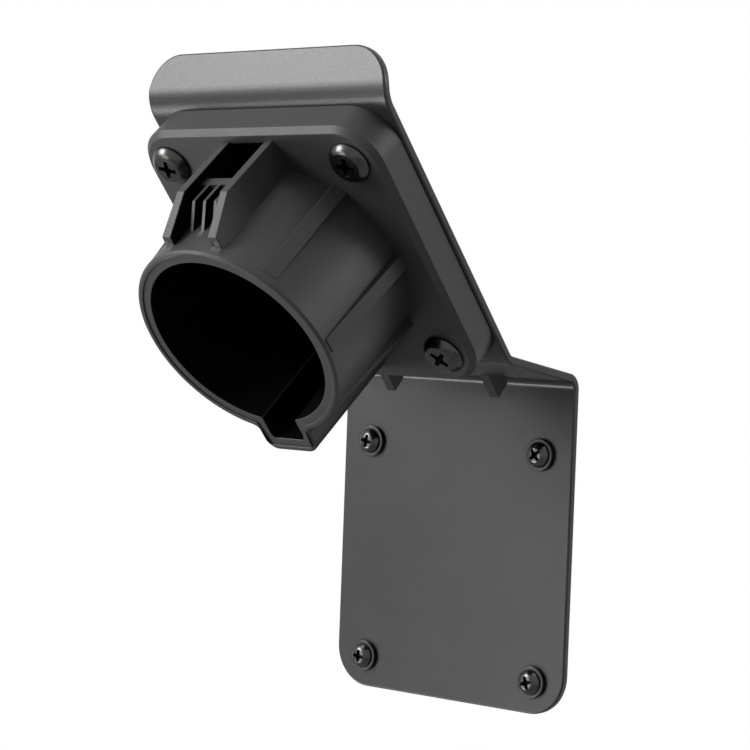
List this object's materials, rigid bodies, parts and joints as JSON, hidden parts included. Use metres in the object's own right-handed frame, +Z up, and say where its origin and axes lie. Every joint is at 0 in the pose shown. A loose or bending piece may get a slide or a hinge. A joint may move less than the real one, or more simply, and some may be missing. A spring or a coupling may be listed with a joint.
{
  "type": "charging plug holder",
  "caption": "Wall bracket of bent black sheet with a moulded holster tube, keyway and latch guard that parks an electric car charging plug.",
  "frame": {"origin": "middle of the rectangle of fixing screws, on the back face of the lower plate, which lies on the wall", "axes": "+X to the right as seen from the front, -Y out of the wall towards the user, +Z up"},
  "size_m": [0.07, 0.1087, 0.1516],
  "materials": {
    "powder_coat": "satin black powder coat",
    "moulding": "fine grained matt black",
    "black_steel": "bright black nickel plate on steel"
  },
  "bodies": {
    "root": {"bracket": "powder_coat", "holster": "moulding", "holster_screw_1": "black_steel", "holster_screw_2": "black_steel", "holster_screw_3": "black_steel", "holster_screw_4": "black_steel", "holster_nut_1": "black_steel", "holster_nut_2": "black_steel", "holster_nut_3": "black_steel", "holster_nut_4": "black_steel", "plate_screw_1": "black_steel", "plate_screw_2": "black_steel", "plate_screw_3": "black_steel", "plate_screw_4": "black_steel", "plate_washer_1": "black_steel", "plate_washer_2": "black_steel", "plate_washer_3": "black_steel", "plate_washer_4": "black_steel"}
  },
  "joints": []
}
